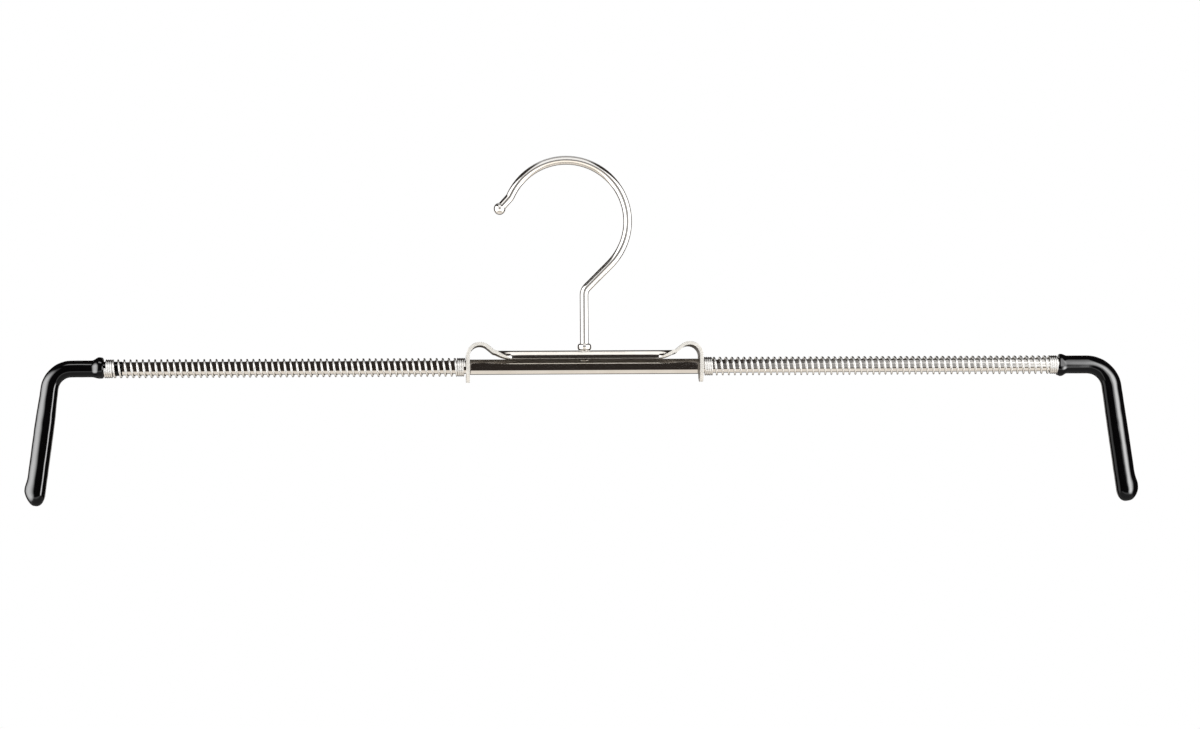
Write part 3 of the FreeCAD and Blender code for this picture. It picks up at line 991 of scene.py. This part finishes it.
def make_nylon():
    """Natural nylon of the bushes: milky, with faint turning marks."""
    material, tree, place = start_material("bush_nylon")
    clouds = grain(tree, place, scale=300, detail=3.0)
    marks = grain(tree, place, scale=1500, stretch=(6.0, 1.0, 1.0), detail=2.0)
    gloss = spread(tree, marks, NOISE_RANGE, NYLON_ROUGHNESS)
    normal = bump(tree, marks, depth=0.01 * MM)
    milky = {"Subsurface Weight": 0.15, "Subsurface Scale": 0.6 * MM}
    add_shader(tree, tint(tree, clouds, NYLON_TONES), gloss, normal, milky)
    return material


def make_floor_material():
    """Pale floor that gives way to the white background towards its rim."""
    material, tree, place = start_material("pale_floor")
    mottle = grain(tree, place, scale=6, detail=3.0)
    colour = tint(tree, mottle, FLOOR_TONES)
    pale = add_node(tree, "ShaderNodeBsdfDiffuse", {"Color": colour}).outputs[0]
    clear = add_node(tree, "ShaderNodeBsdfTransparent").outputs[0]
    away = add_node(tree, "ShaderNodeVectorMath", {0: place}, operation="LENGTH").outputs["Value"]
    fade = spread(tree, away, FLOOR_FADE, (0.0, 1.0))
    mixed = add_node(tree, "ShaderNodeMixShader", {0: fade, 1: pale, 2: clear}).outputs[0]
    add_node(tree, "ShaderNodeOutputMaterial", {"Surface": mixed})
    return material


# Studio

def add_floor():
    reaches = (FLOOR_RADIUS, FLOOR_RADIUS / 2)
    rim, inner = [circle(Vector(), ALONG, ACROSS, reach, FLOOR_SIDES) for reach in reaches]
    faces = []
    for k in range(FLOOR_SIDES):
        after = (k + 1) % FLOOR_SIDES
        faces.append((k, after, FLOOR_SIDES + after, FLOOR_SIDES + k))
    faces.append(tuple(range(FLOOR_SIDES, 2 * FLOOR_SIDES)))
    mesh = bpy.data.meshes.new("floor")
    mesh.from_pydata(rim + inner, [], faces)
    mesh.materials.append(make_floor_material())
    floor = add_object("floor", mesh)
    floor.location.z = FLOOR_Z
    floor.visible_glossy = False


def background(tree, colour, strength):
    inputs = {"Color": (*colour, 1), "Strength": strength}
    return add_node(tree, "ShaderNodeBackground", inputs).outputs[0]


def backdrop_share(tree):
    """1 in the two directions behind the hanger where the backdrop's halves stand, else 0."""
    direction = add_node(tree, "ShaderNodeTexCoord").outputs["Generated"]
    axes = add_node(tree, "ShaderNodeSeparateXYZ", {"Vector": direction}).outputs
    sideways = maths(tree, "ABSOLUTE", axes["X"])
    tilt = maths(tree, "ABSOLUTE", axes["Z"])
    behind = step_up(tree, axes["Y"], *BACKDROP_BEHIND)
    beside = step_up(tree, sideways, *BACKDROP_BESIDE)
    level = maths(tree, "SUBTRACT", 1.0, step_up(tree, tilt, *BACKDROP_TILT))
    return maths(tree, "MULTIPLY", maths(tree, "MULTIPLY", behind, beside), level)


def add_world():
    """White to the camera, an even dome for matt surfaces, a dim room with a white
    backdrop for reflections."""
    world = bpy.data.worlds.new("studio")
    bpy.context.scene.world = world
    tree = empty_tree(world)
    backdrop = background(tree, WARM, backdrop_share(tree))
    room = background(tree, ROOM, 1.0)
    studio = add_node(tree, "ShaderNodeAddShader", {0: backdrop, 1: room}).outputs[0]
    dome = background(tree, WHITE, DOME_STRENGTH)
    white = background(tree, WHITE, 1.0)
    ray = add_node(tree, "ShaderNodeLightPath").outputs
    lit = add_node(tree, "ShaderNodeMixShader", {0: ray["Is Glossy Ray"], 1: dome, 2: studio}).outputs[0]
    seen = add_node(tree, "ShaderNodeMixShader", {0: ray["Is Camera Ray"], 1: lit, 2: white}).outputs[0]
    add_node(tree, "ShaderNodeOutputWorld", {"Surface": seen})


def soften_lamp(lamp, soft):
    """Let a panel's light fall off towards its sides, foot and head, over these shares of it."""
    sides, foot, head = soft
    start, end = sides if isinstance(sides, tuple) else (sides, sides)
    tree = empty_tree(lamp)
    place = add_node(tree, "ShaderNodeNewGeometry").outputs["Parametric"]
    axes = add_node(tree, "ShaderNodeSeparateXYZ", {"Vector": place}).outputs
    strength = 1.0
    for axis, low, high in ((axes["X"], start, end), (axes["Y"], foot, head)):
        rise = step_up(tree, axis, 0.0, low)
        fall = step_up(tree, axis, 1.0 - high, 1.0)
        strength = maths(tree, "MULTIPLY", strength, rise)
        strength = maths(tree, "MULTIPLY", strength, maths(tree, "SUBTRACT", 1.0, fall))
    glow = add_node(tree, "ShaderNodeEmission", {"Strength": strength})
    add_node(tree, "ShaderNodeOutputLight", {"Surface": glow.outputs[0]})


def add_panel(name, lit_pieces, centre, aim, size, radiance, soft=EVEN, colour=WHITE):
    """Softbox that faces aim and lights only some pieces, as flags would keep it off the rest."""
    width, height = size
    lamp = bpy.data.lights.new(name, "AREA")
    lamp.shape = "RECTANGLE"
    lamp.size = width
    lamp.size_y = height
    lamp.energy = radiance * math.pi * width * height
    lamp.color = colour
    soften_lamp(lamp, soft)
    panel = add_object(name, lamp)
    panel.location = centre
    panel.rotation_euler = (Vector(aim) - Vector(centre)).to_track_quat("-Z", "Y").to_euler()
    group = bpy.data.collections.new(name + "_lights")
    for piece in lit_pieces:
        group.objects.link(piece)
    panel.light_linking.receiver_collection = group


def light_metal(metal):
    """Large softboxes at both sides and a pale table, for all plated pieces."""
    add_panel(
        "left_panel", metal, centre=(-0.644, -0.347, -0.05), aim=(-0.088, -0.124, -0.05),
        size=(1.245, 1.45), radiance=2.0
    )
    add_panel(
        "right_panel", metal, centre=(0.606, -0.362, -0.05), aim=(0.058, -0.118, -0.05),
        size=(1.30, 1.45), radiance=2.0
    )
    add_panel(
        "table_panel", metal, centre=(0, 0.06, -0.4), aim=(0, 0.06, 0),
        size=(1.4, 0.60), radiance=0.85, colour=CREAM
    )


def light_bracket_and_arms(sheet, coils, right_rod, right_coil):
    """A panel overhead for the bracket, one above the springs, and glows for the right arm."""
    add_panel(
        "overhead_panel", [sheet], centre=(0, -0.165, 0.5), aim=(0, -0.165, 0),
        size=(0.40, 0.885), radiance=1.25, colour=WARM
    )
    add_panel(
        "coil_panel", coils, centre=(0, -0.21, 0.366), aim=BAR,
        size=(0.9, 0.84), radiance=0.7
    )
    add_panel(
        "right_glow", [right_rod, right_coil], centre=(0.27, -0.957, -0.05), aim=(0.27, 0, -0.05),
        size=(0.36, 1.9), radiance=0.36, soft=((0.4, 0.1), 0.1, 0.1)
    )
    add_panel(
        "right_upper_glow", [right_rod], centre=(0.235, -0.21, 0.366), aim=(0.235, 0, BAR.z),
        size=(0.29, 0.84), radiance=0.9, soft=((0.9, 0.05), 0.15, 0.15)
    )


def light_hook(hook):
    """Panels above, below and in front, so that the thin wire isn't lost in the dim room."""
    add_panel(
        "upper_panel", [hook], centre=(0, -0.68, 0.81), aim=HOOK_AIM,
        size=(1.0, 1.40), radiance=1.05
    )
    add_panel(
        "crown_panel", [hook], centre=(0, 0.47, 0.88), aim=HOOK_AIM,
        size=(1.0, 1.2), radiance=0.45
    )
    add_panel(
        "front_panel", [hook], centre=(0, -1.0, 0.01), aim=HOOK_AIM,
        size=(0.8, 0.3), radiance=0.4
    )
    add_panel(
        "lower_panel", [hook], centre=(0, -0.52, -0.34), aim=HOOK_AIM,
        size=(0.9, 0.54), radiance=1.35, colour=CREAM
    )


def light_bars(left_coating, right_coating):
    """A pale table under the coatings, and highlights along their bars."""
    both = [left_coating, right_coating]
    add_panel(
        "coat_table", both, centre=(0, 0, -0.4), aim=(0, 0, 0),
        size=(1.4, 1.0), radiance=0.23
    )
    add_panel(
        "coat_lower", both, centre=(0, -0.40, -0.447), aim=BAR,
        size=(1.2, 0.16), radiance=0.7, soft=(0.1, 0.4, 0.4)
    )
    add_panel(
        "left_bar_strip", [left_coating], centre=(-0.22, -0.339, 0.5), aim=(-0.22, 0, BAR.z),
        size=(0.5, 0.2), radiance=4.9, soft=(0.3, 0.4, 0.4)
    )
    add_panel(
        "right_bar_panel", [right_coating], centre=(0.284, -0.344, 0.28), aim=(0.217, 0, 0.28),
        size=(0.2, 0.88), radiance=4.2, soft=(0.2, 0.12, 0.75)
    )


def light_legs(left_coating, right_coating):
    """Highlights down the coated legs; right_leg_panel also draws the left leg's inner line."""
    add_panel(
        "left_leg_panel", [left_coating], centre=(-0.401, -0.071, -0.12), aim=(-0.236, 0, -0.12),
        size=(0.479, 0.5), radiance=10.2, soft=((0.54, 0.46), 0.3, 0.3)
    )
    add_panel(
        "right_leg_panel", [left_coating, right_coating],
        centre=(0.377, -0.211, -0.12), aim=(0.235, 0, -0.12),
        size=(0.318, 0.5), radiance=13.5, soft=((0.48, 0.52), 0.3, 0.3)
    )
    add_panel(
        "right_fill", [right_coating], centre=(-0.21, 0.06, -0.12), aim=(0.235, 0, -0.12),
        size=(0.35, 0.5), radiance=0.75, soft=(0.3, 0.3, 0.3)
    )


def add_camera():
    """Camera a little left of the stem and below the bar, looking slightly up."""
    right = Vector((math.cos(CAMERA_YAW), math.sin(CAMERA_YAW), 0))
    ahead = Vector((-math.sin(CAMERA_YAW), math.cos(CAMERA_YAW), 0))
    view = ahead * math.cos(CAMERA_PITCH) + UP * math.sin(CAMERA_PITCH)
    upright = UP * math.cos(CAMERA_PITCH) - ahead * math.sin(CAMERA_PITCH)
    side = right * math.cos(CAMERA_ROLL) + upright * math.sin(CAMERA_ROLL)
    top = upright * math.cos(CAMERA_ROLL) - right * math.sin(CAMERA_ROLL)
    lens = bpy.data.cameras.new("camera")
    lens.sensor_width = CAMERA_SENSOR
    lens.lens = CAMERA_LENS
    camera = add_object("camera", lens)
    turned = Matrix((side, top, -view)).transposed().to_4x4()
    camera.matrix_world = Matrix.Translation(CAMERA_PLACE) @ turned
    bpy.context.scene.camera = camera


# Assembly

def mesh_on_side(side, mesh):
    """A mesh drawn on the right, turned half a turn about the stem if it is for the left."""
    if side == "left":
        mesh.transform(Matrix.Rotation(math.pi, 4, UP))
    return mesh


def add_arm(side, coat, materials):
    """Rod, coating and spring of one arm, and the finish of its bush."""
    plate, vinyl, steel, nylon = materials
    arm = side + "_arm"
    coil = side + "_spring"
    rod_mesh = mesh_on_side(side, make_rod())
    coat_mesh = mesh_on_side(side, make_coating(coat))
    coil_mesh = mesh_on_side(side, make_spring())
    rod = add_piece(side + "_rod", rod_mesh, plate, arm + "_rod", arm)
    coating = add_piece(side + "_coating", coat_mesh, vinyl, arm + "_coating", arm)
    spring = add_piece(side + "_coil", coil_mesh, steel, coil, coil)
    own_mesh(spring)
    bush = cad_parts[side + "_stop_bush"]
    bush.data.materials.clear()
    bush.data.materials.append(nylon)
    return rod, coating, spring


def main():
    bpy.context.scene.view_settings.view_transform = "Standard"
    hook_plate = make_plate("hook_plate", HOOK_ROUGHNESS, wear=0.05)
    sheet_plate = make_plate("bracket_plate", SHEET_ROUGHNESS, wear=0.1, stretch=(0.2, 1, 1))
    cut_edge = make_satin("cut_edge_plate", CUT_EDGE_TONES, CUT_EDGE_ROUGHNESS, metallic=0.4)
    # Painted shade: the bracket's underside is made dark to stand for the shade under the strip
    shaded_underside = make_satin("underside_painted_shade", UNDERSIDE_SHADE_TONES, UNDERSIDE_ROUGHNESS, metallic=0.3)
    tube_plate = make_plate("tube_plate", DRAWN_ROUGHNESS, wear=0.12, stretch=(0.12, 1, 1))
    rod_plate = make_plate("rod_plate", DRAWN_ROUGHNESS, wear=0.12, stretch=(0.08, 1, 1))
    arm_materials = (rod_plate, make_vinyl(), make_spring_steel(), make_nylon())

    hook = add_piece("hook_wire", make_hook(), hook_plate, "hook", "hook")
    strip = make_bracket(shaded_underside, cut_edge, sheet_plate)
    sheet = add_piece("bracket_sheet", strip, sheet_plate, "bracket", "bracket")
    tube = add_piece("tube", make_guide_tube(), tube_plate, "guide_tube", "bracket")
    right_rod, right_coating, right_coil = add_arm("right", RIGHT_COAT, arm_materials)
    left_rod, left_coating, left_coil = add_arm("left", LEFT_COAT, arm_materials)

    light_metal([hook, sheet, tube, right_rod, left_rod, right_coil, left_coil])
    light_bracket_and_arms(sheet, [left_coil, right_coil], right_rod, right_coil)
    light_hook(hook)
    light_bars(left_coating, right_coating)
    light_legs(left_coating, right_coating)
    add_world()
    add_floor()
    add_camera()


main()
